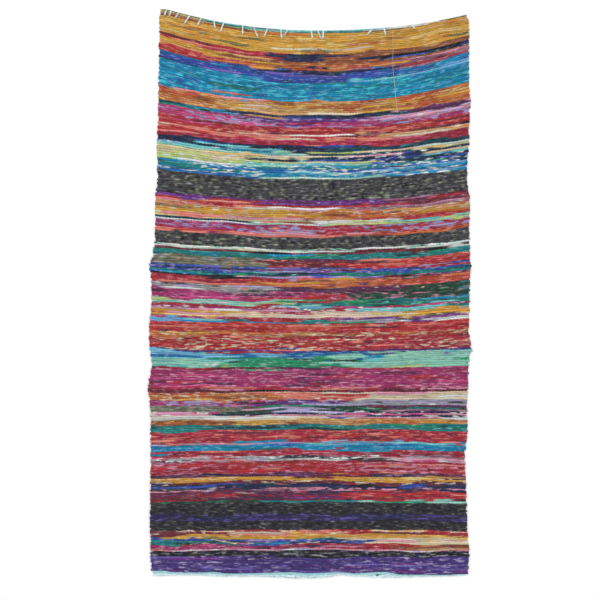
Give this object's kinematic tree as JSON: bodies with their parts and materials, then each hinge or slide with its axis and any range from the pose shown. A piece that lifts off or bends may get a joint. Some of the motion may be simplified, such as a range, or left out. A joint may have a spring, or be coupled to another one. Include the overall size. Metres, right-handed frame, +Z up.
{
  "type": "rag rug",
  "caption": "Flat oblong rag rug, woven from striped fabric strips over white cotton warps, with cotton headings and warp ends laid back at the top.",
  "frame": {"origin": "middle of the rug's box, on the surface it lies on", "axes": "+Z up out of the face, +Y along the length towards the end with the warp tufts, +X to the right seen from above"},
  "size_m": [0.9156, 1.604, 0.0096],
  "materials": {
    "rag_weft": "matt torn cotton strips in many colours, weft-faced weave",
    "heading_cotton": "matt aqua cotton yarn, plain weave",
    "warp_cotton": "matt white twisted cotton"
  },
  "bodies": {
    "root": {"woven_body": "rag_weft", "heading_top": "heading_cotton", "heading_end": "heading_cotton", "warp_tufts": "warp_cotton"}
  },
  "joints": []
}
